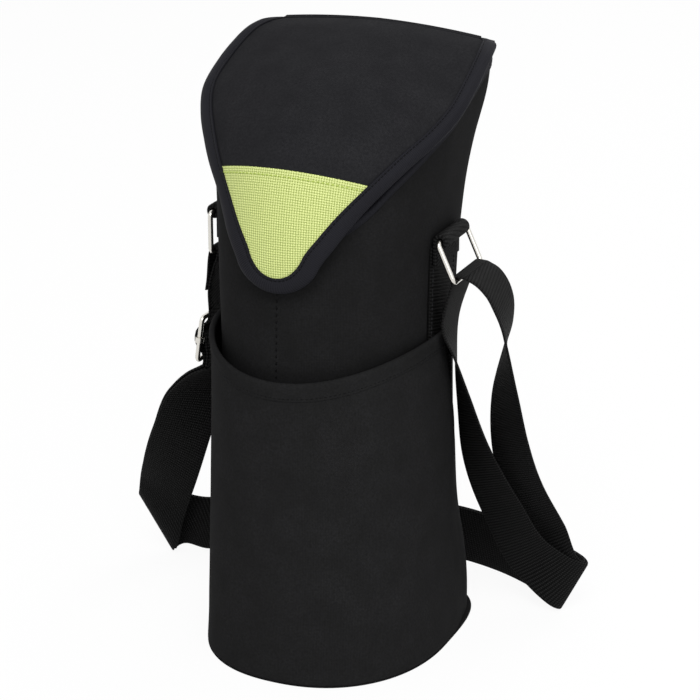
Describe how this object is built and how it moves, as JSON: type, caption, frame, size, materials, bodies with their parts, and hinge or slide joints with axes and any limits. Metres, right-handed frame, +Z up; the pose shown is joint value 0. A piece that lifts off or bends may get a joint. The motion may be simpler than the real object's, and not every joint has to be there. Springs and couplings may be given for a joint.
{
  "type": "bottle carrier",
  "caption": "Insulated fabric tube for a bottle, with a padded flap lid, front slip pocket and a webbing shoulder strap on wire rings with a slider.",
  "frame": {"origin": "centre of the base on the floor", "axes": "+Z up, front with the pocket and tongue towards -Y, wearer's view left to right along +X"},
  "size_m": [0.291, 0.1973, 0.3543],
  "materials": {
    "shell_cloth": "matte plain weave",
    "foam": "closed-cell foam",
    "lining": "smooth coated cloth",
    "board": "plain sheet",
    "binding": "fine ribbed tape",
    "webbing": "ribbed webbing",
    "accent": "coarse basket weave",
    "closing_tape": "hook and loop",
    "wire": "bright nickel plate"
  },
  "bodies": {
    "carrier": {"outer_front_panel": "shell_cloth", "outer_back_panel": "shell_cloth", "insulation_sleeve": "foam", "lining_sleeve": "lining", "lining_base": "lining", "base_panel": "shell_cloth", "base_board": "board", "base_foam": "foam", "mouth_binding": "binding", "pocket_panel": "shell_cloth", "side_web_left": "webbing", "side_web_right": "webbing", "ring_tab_left": "webbing", "ring_tab_right": "webbing", "loop_tape": "closing_tape", "strap_front_layer": "webbing", "strap_rear_layer": "webbing"},
    "flap": {"flap_outer": "shell_cloth", "flap_foam": "foam", "flap_lining": "lining", "flap_binding": "binding", "flap_accent": "accent", "hook_tape": "closing_tape"},
    "ring_left": {"ring_left": "wire", "strap_sewn_end": "webbing"},
    "ring_right": {"ring_right": "wire", "strap_ring_pass": "webbing"},
    "slider": {"slider_frame": "wire", "slider_bar": "wire", "strap_slider_pass": "webbing", "strap_slider_loop": "webbing"}
  },
  "joints": [
    {"name": "flap_hinge", "type": "hinge", "parent": "carrier", "child": "flap", "pos_m": [0, 0.0665, 0.354], "axis": [-1, 0, 0], "range_deg": [0, 220]},
    {"name": "ring_left_swing", "type": "hinge", "parent": "carrier", "child": "ring_left", "pos_m": [-0.0698, 0.005, 0.252], "axis": [0, 1, 0], "range_deg": [0, 111], "deforming": ["strap_front_layer", "strap_rear_layer"]},
    {"name": "ring_right_swing", "type": "hinge", "parent": "carrier", "child": "ring_right", "pos_m": [0.0698, 0.005, 0.252], "axis": [0, -1, 0], "range_deg": [-25, 87], "deforming": ["strap_front_layer", "strap_rear_layer", "strap_ring_pass"]},
    {"name": "slider_slide", "type": "slide", "parent": "ring_left", "child": "slider", "axis": [-0.1416, 0, -0.9899], "range_m": [-0.012, 0.015], "deforming": ["strap_front_layer", "strap_rear_layer", "strap_sewn_end", "strap_slider_pass", "strap_slider_loop"]}
  ]
}
